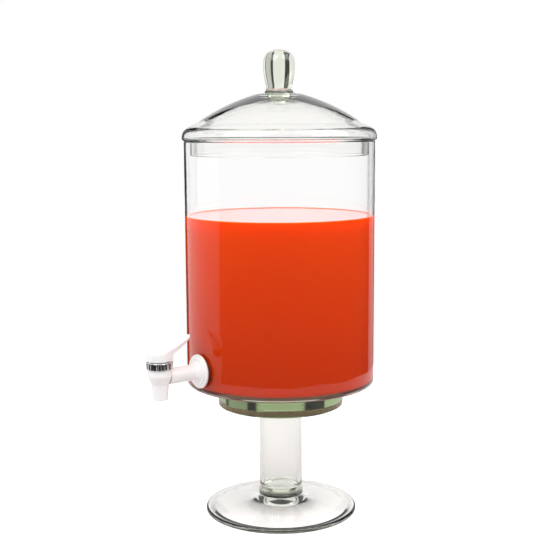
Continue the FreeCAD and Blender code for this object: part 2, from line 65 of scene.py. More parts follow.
# steeper edges stay sharp in shading
SHARP = math.radians(32)

# heights in millimetres above the floor. The jar's glass is thinner than in the construction.
FOOT_TOP = 17.5
PLATE_UNDER = 112.5
JAR_UNDER = 135.5
JAR_FLOOR = 140.6
JAR_RIM = 379.0
LID_TOP = 425.1
KNOB_TOP = 468.3

# radii in millimetres
STANDING_RING = 67.5
FOOT_EDGE = 77.4
FOOT_NECK = 23.3
STEM_FLARE = 22.5
STEM_OUTSIDE = 21.7
STEM_INSIDE = 18.1
PLATE_EDGE = 63.7
JAR_OUTSIDE = 95.0
JAR_INSIDE = 93.0
SKIRT_INSIDE = 85.6
SKIRT_OUTSIDE = 88.6
LID_EDGE = 96.8
LID_ROLL_INSIDE = 94.4
LID_CROWN = 22.0
KNOB_WAIST = 12.8
KNOB_BROAD = 15.5
KNOB_FLAT = 8.0

# how far glass that is joined reaches into its neighbour, in millimetres
BOND = 0.15

# the barrel's axis and the height of the shank, and the tap's sizes, in millimetres
TAP_Y = -141.0
TAP_Z = 158.6
TAP_BORE = 4.0
TAP_STEPS = 72
HOLE_RADIUS = 7.8
HOLE_STEPS = 48
PORT_RADIUS = 3.9
FLUTE_DEPTH = 0.8
FLUTE_FROM = 11.4
FLUTE_STEPS = 16
HANDLE_BASE = 15.85
HUB_RADIUS = 11.2
TIP_RADIUS = 4.5
TIP_MIDDLE = 28.5
HANDLE_LENGTH = 44.2
PADDLE_FROM = 10.1
LEAST_HALF = 0.05

# the stage, in metres
FLOOR_RADIUS = 0.7
FLOOR_STEPS = 96
FLOOR_DROP = 0.0002
FLOOR_COLOUR = (0.645, 0.617, 0.615, 1.0)
FLOOR_GLOW = (("Is Camera Ray", 0.5), ("Is Glossy Ray", 0.05), ("Is Transmission Ray", 0.05))
LAMP_SIZE = 1.2
LAMP_HEIGHT = 1.25
LAMP_AIM = 0.22
# name, degrees to the left of the camera, and share of the left lamp's power
LAMPS = (("lamp_left", 45.0, 1.0), ("lamp_right", -65.0, 1.05))
SENSOR_WIDTH = 36.0


class GlassSettings(PropertyGroup):
    """Looks of the glass"""

    tint: FloatVectorProperty(
        name="Tint", description="Colour that a long way through the glass leaves",
        subtype="COLOR", size=3, min=0.0, max=1.0, default=(0.74, 0.80, 0.64),
    )
    density: FloatProperty(
        name="Density", description="How much light a metre of glass takes", min=0.0, default=6.0,
    )
    lid_density: FloatProperty(
        name="Lid density", description="The same for the blown glass of the lid",
        min=0.0, default=28.0,
    )
    pedestal_density: FloatProperty(
        name="Pedestal density", description="The same for the pressed glass of the pedestal",
        min=0.0, default=26.0,
    )
    plate_density: FloatProperty(
        name="Plate density", description="The same for the thick plate", min=0.0, default=38.0,
    )
    index: FloatProperty(name="Index", description="Refractive index", min=1.0, default=1.5)
    jar_shine: FloatProperty(
        name="Jar shine", description="Strength of the jar's reflections seen straight on",
        min=0.0, max=1.0, default=0.55,
    )
    pedestal_shine: FloatProperty(
        name="Pedestal shine", description="The same for the pedestal",
        min=0.0, max=1.0, default=0.7,
    )
    ripple_size: FloatProperty(
        name="Ripple size", description="Waves per metre in the blown surface",
        min=0.0, default=28.0,
    )
    ripple_height: FloatProperty(
        name="Ripple height", description="Height of the waves",
        unit="LENGTH", min=0.0, default=0.00012,
    )
    segments: IntProperty(
        name="Segments", description="Steps round a turned piece", min=24, default=192,
    )


class LiquidSettings(PropertyGroup):
    """Looks and level of the liquid"""

    tint: FloatVectorProperty(
        name="Tint", description="Colour of the cloudy liquid near its surface",
        subtype="COLOR", size=3, min=0.0, max=1.0, default=(0.645, 0.057, 0.0),
    )
    deep: FloatVectorProperty(
        name="Deep", description="Colour of the cloudy liquid at the floor of the jar",
        subtype="COLOR", size=3, min=0.0, max=1.0, default=(0.475, 0.031, 0.0),
    )
    # a painted reflection: the pale colour stands in for the bright surroundings mirrored by the
    # liquid's top
    painted_top_reflection: FloatVectorProperty(
        name="Painted_top_reflection", description="Colour of the fine froth on the surface",
        subtype="COLOR", size=3, min=0.0, max=1.0, default=(0.84, 0.53, 0.58),
    )
    cloud: FloatProperty(
        name="Cloud", description="How far light wanders in the liquid",
        unit="LENGTH", min=0.0, default=0.03,
    )
    index: FloatProperty(name="Index", description="Refractive index", min=1.0, default=1.34)
    level: FloatProperty(
        name="Level", description="Height of the surface in millimetres", min=0.0, default=305.3,
    )


class TapSettings(PropertyGroup):
    """Looks of the tap"""

    plastic: FloatVectorProperty(
        name="Plastic", description="Colour of the moulded tap",
        subtype="COLOR", size=3, min=0.0, max=1.0, default=(0.94, 0.94, 0.93),
    )
    plastic_roughness: FloatProperty(
        name="Plastic roughness", description="Roughness of the moulded tap",
        min=0.0, max=1.0, default=0.32,
    )
    chrome: FloatVectorProperty(
        name="Chrome", description="Colour of the bright ring",
        subtype="COLOR", size=3, min=0.0, max=1.0, default=(0.62, 0.62, 0.64),
    )
    seal: FloatVectorProperty(
        name="Seal", description="Colour of the soft washers",
        subtype="COLOR", size=3, min=0.0, max=1.0, default=(0.05, 0.04, 0.045),
    )
    flutes: IntProperty(
        name="Flutes", description="Grip flutes round the collar", min=6, default=18,
    )


class StageSettings(PropertyGroup):
    """Camera, surroundings and lamps"""

    azimuth: FloatProperty(
        name="Azimuth", description="Where the camera stands round the jar",
        subtype="ANGLE", default=math.radians(54.0),
    )
    distance: FloatProperty(
        name="Distance", description="Camera to the jar's axis", unit="LENGTH", default=1.086,
    )
    height: FloatProperty(
        name="Height", description="Camera above the floor", unit="LENGTH", default=0.3976,
    )
    pitch: FloatProperty(
        name="Pitch", description="How far the camera looks down",
        subtype="ANGLE", default=math.radians(8.29),
    )
    roll: FloatProperty(
        name="Roll", description="Tilt of the camera about its view",
        subtype="ANGLE", default=math.radians(-0.27),
    )
    lens: FloatProperty(name="Lens", description="Focal length in millimetres", default=69.74)
    dark_side: FloatProperty(
        name="Dark side", description="Light from the dimmer surroundings", min=0.0, default=0.04,
    )
    dark_width: FloatProperty(
        name="Dark width",
        description="Half width of the dark flags beside the backdrop in degrees",
        default=50.0,
    )
    backdrop: FloatProperty(
        name="Backdrop", description="Half width of the white backdrop in degrees", default=15.0,
    )
    panel_middle: FloatProperty(
        name="Panel middle",
        description="Middle of the white panel, in degrees left of the camera",
        default=113.0,
    )
    panel_width: FloatProperty(
        name="Panel width", description="Half width of the white panel in degrees", default=37.0,
    )
    strip: FloatProperty(
        name="Strip", description="Strength of the strip on the right",
        min=0.0, max=1.0, default=0.6,
    )
    strip_middle: FloatProperty(
        name="Strip middle", description="Middle of the strip, in degrees left of the camera",
        default=-147.0,
    )
    strip_width: FloatProperty(
        name="Strip width", description="Half width of the strip in degrees", default=11.0,
    )
    ceiling_width: FloatProperty(
        name="Ceiling width", description="Half width of the white ceiling panel in degrees",
        default=60.0,
    )
    lamp: FloatProperty(
        name="Lamp", description="Power of the left lamp in watts", min=0.0, default=15.4,
    )


def arc(start, end, sag, steps=16):
    """Points of an arc from start up to, but not including, end.

    A positive sag bulges to the right of the way.
    """
    a, b = Vector(start), Vector(end)
    chord = b - a
    half = chord.length / 2
    across = Vector((chord.y, -chord.x)).normalized()
    size = (half * half + sag * sag) / (2 * sag)
    centre = (a + b) / 2 + across * (sag - size)
    first = a - centre
    last = b - centre
    sweep = math.atan2(first.x * last.y - first.y * last.x, first.dot(last))
    points = []
    for step in range(steps):
        turn = sweep * step / steps
        spoke = Matrix.Rotation(turn, 2) @ first
        points.append(tuple(centre + spoke))
    return points


def setback(before, corner, after):
    """How far the rounding of a corner runs along its two lines."""
    if len(corner) == 2:
        return 0.0
    p = Vector(corner[:2])
    opening = (Vector(before[:2]) - p).angle(Vector(after[:2]) - p)
    return corner[2] / math.tan(opening / 2)


def fillet(before, corner, after, taken, steps=6):
    """Points that round off a corner, with one more on each line to keep its shading flat.

    taken is what the roundings of the two neighbours use of these lines.
    """
    p, a, b = Vector(corner[:2]), Vector(before[:2]), Vector(after[:2])
    to_a, to_b = (a - p).normalized(), (b - p).normalized()
    size = corner[2]
    opening = to_a.angle(to_b)
    back = setback(before, corner, after)
    centre = p + (to_a + to_b).normalized() * (size / math.sin(opening / 2))
    first, last = p + to_a * back - centre, p + to_b * back - centre
    sweep = math.atan2(first.x * last.y - first.y * last.x, first.dot(last))
    turns = [sweep * step / steps for step in range(steps + 1)]
    points = [tuple(centre + Matrix.Rotation(turn, 2) @ first) for turn in turns]
    rest = HOLD * size
    if (a - p).length - taken[0] > back + 2 * rest:
        points.insert(0, tuple(p + to_a * (back + rest)))
    if (b - p).length - taken[1] > back + 2 * rest:
        points.append(tuple(p + to_b * (back + rest)))
    return points


def outline(corners):
    """A closed outline. A corner is (r, z), or (r, z, size) for a rounded one."""
    points = []
    triples = list(zip(corners[-1:] + corners[:-1], corners, corners[1:] + corners[:1]))
    used = [setback(*triple) for triple in triples]
    for index, (before, corner, after) in enumerate(triples):
        if len(corner) == 2:
            points.append(corner)
        else:
            taken = used[index - 1], used[(index + 1) % len(used)]
            points += fillet(before, corner, after, taken)
    return [
        point for index, point in enumerate(points)
        if math.dist(point, points[index - 1]) > SAME
    ]


def mesh_object(name, points, faces):
    """An object from points in millimetres, with its faces turned outwards and shaded smooth."""
    mesh = bpy.data.meshes.new(name)
    mesh.from_pydata([tuple(c * MM for c in p) for p in points], [], faces)
    mesh.validate()
    item = bpy.data.objects.new(name, mesh)
    bpy.context.scene.collection.objects.link(item)
    face_outwards(mesh)
    mesh.shade_smooth()
    mesh.set_sharp_from_angle(angle=SHARP)
    return item


def face_outwards(mesh):
    """Turns all faces of a closed mesh outwards."""
    work = bmesh.new()
    work.from_mesh(mesh)
    bmesh.ops.recalc_face_normals(work, faces=work.faces)
    work.to_mesh(mesh)
    work.free()


def turned(points, segments, shape=None):
    """Points and faces of an outline turned round Z. shape may change the radius."""
    made, rings, faces = [], [], []
    for r, z in points:
        if r < POLE:
            rings.append([len(made)])
            made.append((0.0, 0.0, z))
            continue
        first = len(made)
        for step in range(segments):
            angle = 2 * math.pi * step / segments
            size = shape(r, z, angle) if shape else r
            made.append((size * math.cos(angle), size * math.sin(angle), z))
        rings.append(list(range(first, first + segments)))
    for index, ring in enumerate(rings):
        after = rings[(index + 1) % len(rings)]
        if len(ring) == 1 and len(after) == 1:
            continue
        for step in range(segments):
            onward = (step + 1) % segments
            if len(ring) == 1:
                faces.append((ring[0], after[step], after[onward]))
            elif len(after) == 1:
                faces.append((ring[step], after[0], ring[onward]))
            else:
                faces.append((ring[step], after[step], after[onward], ring[onward]))
    return made, faces


def along_shank(points):
    """Turns points made round Z so that their Z runs from the barrel's axis to the jar."""
    return [(x, TAP_Y + z, TAP_Z - y) for x, y, z in points]


def on_barrel(points):
    """Moves points made round Z to the barrel's axis."""
    return [(x, TAP_Y + y, TAP_Z + z) for x, y, z in points]


def new_material(name):
    """A material with its node tree and its shader."""
    material = bpy.data.materials.new(name)
    material.use_nodes = True
    tree = material.node_tree
    shader = tree.nodes["Principled BSDF"]
    return material, tree, shader


def node(tree, kind, inputs=None, **options):
    """A node with its options and unlinked inputs set."""
    made = tree.nodes.new(kind)
    for key, value in options.items():
        setattr(made, key, value)
    for key, value in (inputs or {}).items():
        made.inputs[key].default_value = value
    return made


def brightest(tree, levels):
    """The greatest of several outputs."""
    most, *others = levels
    for level in others:
        larger = node(tree, "ShaderNodeMath", operation="MAXIMUM")
        tree.links.new(most, larger.inputs[0])
        tree.links.new(level, larger.inputs[1])
        most = larger.outputs["Value"]
    return most


def add_ripple(tree, shader, size, height, detail=2.0):
    """A noise bump on the shader, in the object's own coordinates."""
    place = node(tree, "ShaderNodeTexCoord")
    noise = node(tree, "ShaderNodeTexNoise", {"Scale": size, "Detail": detail})
    bump = node(tree, "ShaderNodeBump", {"Strength": 1.0, "Distance": height})
    tree.links.new(place.outputs["Object"], noise.inputs["Vector"])
    tree.links.new(noise.outputs["Fac"], bump.inputs["Height"])
    tree.links.new(bump.outputs["Normal"], shader.inputs["Normal"])
    return noise


def add_depth(tree, tint, density):
    """Light lost on the way through."""
    loss = node(tree, "ShaderNodeVolumeAbsorption", {"Color": (*tint, 1.0), "Density": density})
    tree.links.new(loss.outputs["Volume"], tree.nodes["Material Output"].inputs["Volume"])


def glass_material(name, glass, density, shine=1.0):
    """Clear glass that lets the lamps through to what stands inside it."""
    material, tree, shader = new_material(name)
    shader.inputs["Base Color"].default_value = WHITE
    shader.inputs["Roughness"].default_value = 0.0
    shader.inputs["IOR"].default_value = glass.index
    shader.inputs["Transmission Weight"].default_value = 1.0
    shader.inputs["Specular Tint"].default_value = (shine, shine, shine, 1.0)
    add_ripple(tree, shader, glass.ripple_size, glass.ripple_height)
    add_depth(tree, glass.tint, density)
    path = node(tree, "ShaderNodeLightPath")
    clear = node(tree, "ShaderNodeBsdfTransparent", {"Color": GLASS_SHADE})
    either = node(tree, "ShaderNodeMixShader")
    tree.links.new(path.outputs["Is Shadow Ray"], either.inputs["Fac"])
    tree.links.new(shader.outputs["BSDF"], either.inputs[1])
    tree.links.new(clear.outputs["BSDF"], either.inputs[2])
    tree.links.new(either.outputs["Shader"], tree.nodes["Material Output"].inputs["Surface"])
    return material


def liquid_material(name, liquid):
    """Cloudy liquid, a little deeper in colour towards the floor of the jar, with a painted
    reflection of the bright surroundings on faces that look up.
    """
    material, tree, shader = new_material(name)
    shader.inputs["Roughness"].default_value = 0.02
    shader.inputs["IOR"].default_value = liquid.index
    shader.inputs["Specular IOR Level"].default_value = 0.2
    shader.inputs["Subsurface Weight"].default_value = 1.0
    shader.inputs["Subsurface Radius"].default_value = (1.0, 0.35, 0.15)
    shader.inputs["Subsurface Scale"].default_value = liquid.cloud
    add_ripple(tree, shader, 20.0, 0.00002)
    place = node(tree, "ShaderNodeTexCoord")
    split = node(tree, "ShaderNodeSeparateXYZ")
    ends = {"From Min": JAR_FLOOR * MM, "From Max": liquid.level * MM}
    rise = node(tree, "ShaderNodeMapRange", ends)
    depth = node(tree, "ShaderNodeMix", data_type="RGBA")
    depth.inputs["A"].default_value = (*liquid.deep, 1.0)
    depth.inputs["B"].default_value = (*liquid.tint, 1.0)
    tree.links.new(place.outputs["Object"], split.inputs["Vector"])
    tree.links.new(split.outputs["Z"], rise.inputs["Value"])
    tree.links.new(rise.outputs["Result"], depth.inputs["Factor"])
    # faces that look up get a painted reflection, a pale colour in place of the bright
    # surroundings that the top mirrors
    shape = node(tree, "ShaderNodeNewGeometry")
    facing = node(tree, "ShaderNodeSeparateXYZ")
    painted_reflection_mask = node(tree, "ShaderNodeMapRange", PAINTED_REFLECTION_RANGE)
    surface = node(tree, "ShaderNodeMix", data_type="RGBA")
    surface.inputs["B"].default_value = (*liquid.painted_top_reflection, 1.0)
    tree.links.new(shape.outputs["True Normal"], facing.inputs["Vector"])
    tree.links.new(facing.outputs["Z"], painted_reflection_mask.inputs["Value"])
    tree.links.new(painted_reflection_mask.outputs["Result"], surface.inputs["Factor"])
    tree.links.new(depth.outputs["Result"], surface.inputs["A"])
    tree.links.new(surface.outputs["Result"], shader.inputs["Base Color"])
    return material


def solid_material(name, colour, roughness, metal=0.0, grain=900.0, depth=0.00003):
    """An opaque material whose colour and surface vary a little."""
    material, tree, shader = new_material(name)
    shader.inputs["Roughness"].default_value = roughness
    shader.inputs["Metallic"].default_value = metal
    noise = add_ripple(tree, shader, grain, depth, detail=3.0)
    darker = tuple(GRAIN_SHADE * c for c in colour)
    ramp = node(tree, "ShaderNodeMix", data_type="RGBA")
    ramp.inputs["A"].default_value = (*darker, 1.0)
    ramp.inputs["B"].default_value = (*colour, 1.0)
    tree.links.new(noise.outputs["Fac"], ramp.inputs["Factor"])
    tree.links.new(ramp.outputs["Result"], shader.inputs["Base Color"])
    return material


def finish_piece(item, body, cad_node, material):
    """Gives a piece its material and its body, and hides the construction node that it stands for.
    """
    item.data.materials.append(material)
    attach(item, body)
    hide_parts(cad_node)


def dress_node(name, material):
    """Gives a construction piece that is shown as it is its material."""
    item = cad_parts[name]
    item.data.materials.clear()
    item.data.materials.append(material)


class DISPENSER_OT_pedestal(Operator):
    """Build the foot, stem and plate"""

    bl_idname = "dispenser.pedestal"
    bl_label = "Build pedestal"

    def execute(self, context):
        glass = context.scene.dispenser_glass
        foot = [(STANDING_RING, 0.0, 0.4), (FOOT_EDGE, 0.0, 2.3), (FOOT_EDGE, 5.0, 2.3)]
        foot += arc((74.6, 5.0), (FOOT_NECK, FOOT_TOP), -0.4, 24)
        foot += [(FOOT_NECK, FOOT_TOP), (0.0, FOOT_TOP)]
        foot += arc((0.0, 9.0), (STANDING_RING, 0.0), -2.26, 24)
        stem_under, stem_top = FOOT_TOP - BOND, PLATE_UNDER + BOND
        stem = [(0.0, stem_under), (STEM_FLARE, stem_under), (STEM_FLARE, FOOT_TOP + 3.5, 1.2)]
        stem += [(STEM_OUTSIDE, FOOT_TOP + 6.0, 1.5), (STEM_OUTSIDE, stem_top)]
        stem += [(STEM_INSIDE, stem_top), (STEM_INSIDE, FOOT_TOP + 7.0, 5.0)]
        stem += [(0.0, FOOT_TOP + 7.0)]
        plate_top = JAR_UNDER + BOND
        plate = [(0.0, PLATE_UNDER), (PLATE_EDGE, PLATE_UNDER, 1.2)]
        plate += [(PLATE_EDGE, plate_top, 1.2), (0.0, plate_top)]
        for name, corners, look_name, density in (
            ("pedestal_foot", foot, "clear_glass_foot", glass.density),
            ("pedestal_stem", stem, "clear_glass_pedestal", glass.pedestal_density),
            ("pedestal_plate", plate, "clear_glass_plate", glass.plate_density),
        ):
            look = glass_material(look_name, glass, density, glass.pedestal_shine)
            item = mesh_object(f"{name}_glass", *turned(outline(corners), glass.segments))
            finish_piece(item, "dispenser", name, look)
        return {"FINISHED"}


class DISPENSER_OT_jar(Operator):
    """Build the jar with its drilled hole"""

    bl_idname = "dispenser.jar"
    bl_label = "Build jar"

    def execute(self, context):
        glass = context.scene.dispenser_glass
        # rings near the hole, so that its faces stay short
        levels = (145.0, 148.0, 152.0, TAP_Z, 165.0, 169.0, 173.0)
        vessel = [(0.0, JAR_UNDER), (JAR_OUTSIDE, JAR_UNDER, 3.5)]
        vessel += [(JAR_OUTSIDE, z) for z in levels]
        vessel += [(JAR_OUTSIDE, JAR_RIM, 1.0), (JAR_INSIDE, JAR_RIM, 1.0)]
        vessel += [(JAR_INSIDE, z) for z in reversed(levels)]
        vessel += [(JAR_INSIDE, JAR_FLOOR, 3.0), (0.0, JAR_FLOOR)]
        item = mesh_object("jar_glass", *turned(outline(vessel), glass.segments))
        combine(item, mesh_object("drill", *bar_shape(HOLE_RADIUS, 40.0, 60.0)), "DIFFERENCE")
        look = glass_material("clear_glass_jar", glass, glass.density, glass.jar_shine)
        finish_piece(item, "dispenser", "jar", look)
        return {"FINISHED"}


def bar_shape(radius, start, end):
    """A round bar on the shank's axis, for drilling, measured from the barrel's axis."""
    corners = [(0.0, start), (radius, start), (radius, end), (0.0, end)]
    points, faces = turned(corners, HOLE_STEPS)
    return along_shank(points), faces


def combine(item, tool, operation):
    """Joins the tool's shape to the item's mesh or takes it out, and removes the tool."""
    change = item.modifiers.new("combine", "BOOLEAN")
    change.operation = operation
    change.solver = "EXACT"
    change.object = tool
    seen = item.evaluated_get(bpy.context.evaluated_depsgraph_get())
    mesh = bpy.data.meshes.new_from_object(seen)
    item.modifiers.clear()
    item.data = mesh
    mesh.set_sharp_from_angle(angle=SHARP)
    bpy.data.objects.remove(tool)


class DISPENSER_OT_liquid(Operator):
    """Fill the jar with liquid"""

    bl_idname = "dispenser.liquid"
    bl_label = "Fill with liquid"

    def execute(self, context):
        liquid = context.scene.dispenser_liquid
        side = JAR_INSIDE + BOND
        fill = [(0.0, JAR_FLOOR - BOND), (side, JAR_FLOOR - BOND, 3.0)]
        fill += arc((side, liquid.level + 0.8), (side - 3.0, liquid.level), 0.35, 8)
        fill += [(side - 3.0, liquid.level), (0.0, liquid.level)]
        points, faces = turned(outline(fill), context.scene.dispenser_glass.segments)
        item = mesh_object("liquid_fill_red", points, faces)
        look = liquid_material("red_liquid", liquid)
        finish_piece(item, "dispenser", "liquid_fill", look)
        return {"FINISHED"}


class DISPENSER_OT_lid(Operator):
    """Build the lid and its knob"""

    bl_idname = "dispenser.lid"
    bl_label = "Build lid"

    def execute(self, context):
        glass = context.scene.dispenser_glass
        material = glass_material("clear_glass_lid", glass, glass.lid_density)
        base, skirt_under, roll_floor = JAR_RIM, JAR_RIM - 14.0, JAR_RIM + 2.4
        shoulder, inner_shoulder = (80.0, base + 19.1), (79.0, base + 16.6)
        crown, inner_crown = (LID_CROWN, LID_TOP), (LID_CROWN, LID_TOP - 4.8)
        lid = [(SKIRT_INSIDE, skirt_under, 0.9), (SKIRT_OUTSIDE, skirt_under, 0.9)]
        lid += [(SKIRT_OUTSIDE, base, 0.8), (LID_EDGE, base, 2.8), (LID_EDGE, base + 10.4, 10.0)]
        # the arcs leave out the points that the shoulders' roundings take up
        lid += [(*shoulder, 40.0)] + arc(shoulder, crown, 2.6, 28)[2:]
        lid += [crown, (0.0, LID_TOP), (0.0, LID_TOP - 4.8)]
        lid += arc(inner_crown, inner_shoulder, -2.5, 26)[:-1] + [(*inner_shoulder, 40.0)]
        lid += [(LID_ROLL_INSIDE, base + 8.6, 6.8), (LID_ROLL_INSIDE, roll_floor, 1.2)]
        lid += [(SKIRT_INSIDE, roll_floor, 1.0)]
        waist, broad = (KNOB_WAIST, LID_TOP + 8.0), (KNOB_BROAD, LID_TOP + 31.0)
        flat, top = (KNOB_FLAT, KNOB_TOP - 1.6), (0.0, KNOB_TOP)
        knob = [(0.0, LID_TOP - BOND)]
        knob += arc((20.5, LID_TOP - BOND), waist, -3.25) + arc(waist, broad, 1.0)
        knob += arc(broad, flat, 1.87) + arc(flat, top, 0.4, 8) + [top]
        for name, corners in (("lid", lid), ("lid_knob", knob)):
            item = mesh_object(f"{name}_glass", *turned(outline(corners), glass.segments))
            finish_piece(item, "lid", name, material)
        return {"FINISHED"}


class DISPENSER_OT_tap(Operator):
    """Build the tap's body, collar and handle"""

    bl_idname = "dispenser.tap"
    bl_label = "Build tap"

    def execute(self, context):
        tap = context.scene.dispenser_tap
        plastic = solid_material("white_plastic", tap.plastic, tap.plastic_roughness)
        chrome = solid_material("chrome_ring", tap.chrome, 0.08, metal=1.0, depth=0.00001)
        body = mesh_object("tap_body_plastic", *barrel_shape())
        combine(body, mesh_object("shank", *shank_shape()), "UNION")
        combine(body, mesh_object("port", *bar_shape(PORT_RADIUS, 2.0, 12.0)), "DIFFERENCE")
        finish_piece(body, "dispenser", "tap_body", plastic)
        collar = mesh_object("tap_collar_chrome", *collar_shape(tap.flutes))
        finish_piece(collar, "dispenser", "tap_collar", chrome)
        handle = mesh_object("tap_handle_plastic", *handle_shape())
        finish_piece(handle, "tap_handle", "tap_handle", plastic)
        dress_node("tap_plug", plastic)
        return {"FINISHED"}


def barrel_shape():
    """The tap's barrel and spout, turned round the barrel's axis."""
    corners = [
        (TAP_BORE, -21.5, 0.5), (7.2, -21.5, 0.8), (8.5, -6.5, 3.0), (11.5, 2.0, 2.0),
        (11.5, 8.2, 0.5), (10.2, 8.2), (10.2, 13.2), (6.58, 13.2), (6.18, -5.0), (TAP_BORE, -5.0),
    ]
    points, faces = turned(outline(corners), TAP_STEPS)
    return on_barrel(points), faces


def shank_shape():
    """The tube, flange and shank, turned round the shank's axis."""
    corners = [
        (TAP_BORE, 9.0), (TAP_BORE, 62.4), (7.5, 62.4, 0.4), (7.5, 44.0), (16.5, 44.0, 0.5),
        (16.5, 41.5, 1.0), (13.5, 41.5, 0.6), (13.5, 40.0, 0.8), (11.0, 40.0, 0.6),
        (7.8, 36.0, 2.0), (7.8, 9.0),
    ]
    points, faces = turned(outline(corners), TAP_STEPS)
    return along_shank(points), faces


def collar_shape(flutes):
    """The bright ring with grip flutes in its wall."""
    corners = [
        (10.25, 8.25), (12.5, 8.25, 0.7), (12.5, 15.55, 0.9),
        (4.58, 15.55, 0.2), (4.58, 13.75), (10.25, 13.75),
    ]

    def fluted(r, z, angle):
        if r < FLUTE_FROM:
            return r
        wave = max(0.0, math.cos(flutes * angle))
        return r - FLUTE_DEPTH * wave ** 1.5

    points, faces = turned(outline(corners), flutes * FLUTE_STEPS, fluted)
    return on_barrel(points), faces


def handle_shape():
    """The hub and the paddle that sweeps up towards the jar, as rounded sections along Y."""
    stations = [-HUB_RADIUS * math.cos(math.pi / 2 * k / 14) for k in range(15)]
    stations += [1.0 + k for k in range(9)] + [9.9, 10.3] + [11.0 + k for k in range(17)]
    stations += [TIP_MIDDLE + TIP_RADIUS * math.sin(math.pi / 2 * k / 10) for k in range(11)]
    rings = []
    for y in stations:
        section = rounded_box(*handle_section(y))
        rings.append([(x, y, HANDLE_BASE + z) for x, z in section])
    points = [p for ring in rings for p in ring]
    count = len(rings[0])
    faces = [tuple(range(count)), tuple(range(len(points) - count, len(points)))]
    for index in range(len(rings) - 1):
        for step in range(count):
            onward = (step + 1) % count
            a, b = index * count, (index + 1) * count
            faces.append((a + step, b + step, b + onward, a + onward))
    return on_barrel(points), faces


def handle_section(y):
    """Half width, underside and top of the handle at a station."""
    if y < 0:
        half = math.sqrt(max(0.0, HUB_RADIUS ** 2 - y * y))
    elif y < TIP_MIDDLE:
        half = HUB_RADIUS + (TIP_RADIUS - HUB_RADIUS) * y / TIP_MIDDLE
    else:
        half = math.sqrt(max(0.0, TIP_RADIUS ** 2 - (y - TIP_MIDDLE) ** 2))
    half = max(half, LEAST_HALF)
    share = (y + HUB_RADIUS) / HANDLE_LENGTH
    top = 8.0 + 14.0 * share - 4 * 1.6 * share * (1 - share)
    if y < PADDLE_FROM:
        return half, 0.0, top
    beyond = (y - 10.0) / 23.0
    under = 7.0 + 12.0 * beyond - 4 * 1.2 * beyond * (1 - beyond)
    return half, min(under, top - 1.0), top


def rounded_box(half, low, high, steps=5):
    """A section with rounded edges, anticlockwise."""
    size = min(1.3, 0.9 * half, 0.45 * (high - low))
    points = []
    side, bottom, top = half - size, low + size, high - size
    for cx, cz, start in (
        (side, bottom, -90), (side, top, 0), (-side, top, 90), (-side, bottom, 180),
    ):
        for step in range(steps + 1):
            angle = math.radians(start + 90 * step / steps)
            points.append((cx + size * math.cos(angle), cz + size * math.sin(angle)))
    return points


class DISPENSER_OT_fittings(Operator):
    """Dress the gaskets, washer, nut, seal ring and screw"""

    bl_idname = "dispenser.fittings"
    bl_label = "Dress fittings"

    def execute(self, context):
        tap = context.scene.dispenser_tap
        seal = solid_material("soft_seal", tap.seal, 0.6)
        plastic = solid_material("white_fittings", tap.plastic, tap.plastic_roughness)
        steel = solid_material("steel_screw", (0.55, 0.55, 0.57), 0.3, metal=1.0)
        for name in ("outer_gasket", "inner_gasket", "plug_seal_ring"):
            dress_node(name, seal)
        for name in ("pressure_washer", "shank_nut"):
            dress_node(name, plastic)
        dress_node("handle_screw", steel)
        return {"FINISHED"}


class DISPENSER_OT_stage(Operator):
    """Set the floor, light and camera"""

    bl_idname = "dispenser.stage"
    bl_label = "Set stage"

    def execute(self, context):
        stage = context.scene.dispenser_stage
        context.scene.view_settings.view_transform = "Standard"
        add_floor()
        add_world(context.scene, stage)
        add_lamps(stage)
        add_camera(context.scene, stage)
        return {"FINISHED"}


def add_floor():
    """A round white floor that catches the shadow."""
    angles = [2 * math.pi * step / FLOOR_STEPS for step in range(FLOOR_STEPS)]
    rim = [(FLOOR_RADIUS * math.cos(a), FLOOR_RADIUS * math.sin(a), 0.0) for a in angles]
    mesh = bpy.data.meshes.new("floor")
    mesh.from_pydata(rim, [], [tuple(range(FLOOR_STEPS))])
    floor = bpy.data.objects.new("floor", mesh)
    bpy.context.scene.collection.objects.link(floor)
    floor.location.z = -FLOOR_DROP
    material, tree, shader = new_material("white_floor")
    shader.inputs["Base Color"].default_value = FLOOR_COLOUR
    shader.inputs["Roughness"].default_value = 0.9
    shader.inputs["Specular IOR Level"].default_value = 0.0
    shader.inputs["Emission Color"].default_value = WHITE
    path = node(tree, "ShaderNodeLightPath")
    levels = []
    for ray, strength in FLOOR_GLOW:
        glow = node(tree, "ShaderNodeMath", {1: strength}, operation="MULTIPLY")
        tree.links.new(path.outputs[ray], glow.inputs[0])
        levels.append(glow.outputs["Value"])
    tree.links.new(brightest(tree, levels), shader.inputs["Emission Strength"])
    mesh.materials.append(material)


def bearing(stage, degrees):
    """A level direction, in degrees to the left of the way from the jar to the camera."""
    angle = stage.azimuth - math.radians(degrees)
    return Vector((math.sin(angle), -math.cos(angle), 0.0))


def add_patch(tree, direction, middle, half_width, strength):
    """The strength where a direction lies within half_width degrees of the middle, else nought."""
    facing = node(tree, "ShaderNodeVectorMath", operation="DOT_PRODUCT")
    facing.inputs[1].default_value = middle
    inner = math.cos(math.radians(half_width - 1.0))
    outer = math.cos(math.radians(half_width + 1.0))
    ends = {"From Min": outer, "From Max": inner, "To Max": strength}
    edge = node(tree, "ShaderNodeMapRange", ends)
    tree.links.new(direction, facing.inputs[0])
    tree.links.new(facing.outputs["Value"], edge.inputs["Value"])
    return edge.outputs["Result"]


